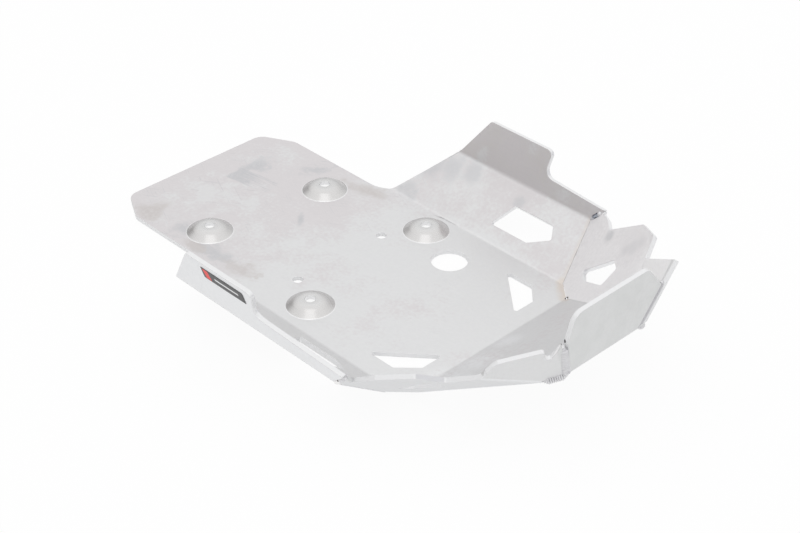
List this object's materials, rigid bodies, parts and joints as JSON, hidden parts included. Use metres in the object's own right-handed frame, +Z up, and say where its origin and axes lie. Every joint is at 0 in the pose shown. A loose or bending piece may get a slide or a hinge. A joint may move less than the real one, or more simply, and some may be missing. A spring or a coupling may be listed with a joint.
{
  "type": "motorcycle skid plate",
  "caption": "Folded aluminium sheet tray that guards a motorcycle engine from below, with dished bolt holes, a drain hole, cut-outs, steep side flanges and a welded, faceted nose.",
  "frame": {"origin": "on the underside of the floor, on the centre line, level with the two small holes", "axes": "+X towards the front of the motorcycle, +Y to its left, +Z up"},
  "size_m": [0.4848, 0.3168, 0.1122],
  "materials": {
    "plate": "matte mill finish, rubbed and stained",
    "weld": "bright rippled weld",
    "label": "printed film"
  },
  "bodies": {
    "root": {"skid_plate": "plate", "side_weld_left": "weld", "side_weld_right": "weld", "front_weld_left": "weld", "front_weld_right": "weld", "label": "label"}
  },
  "joints": []
}
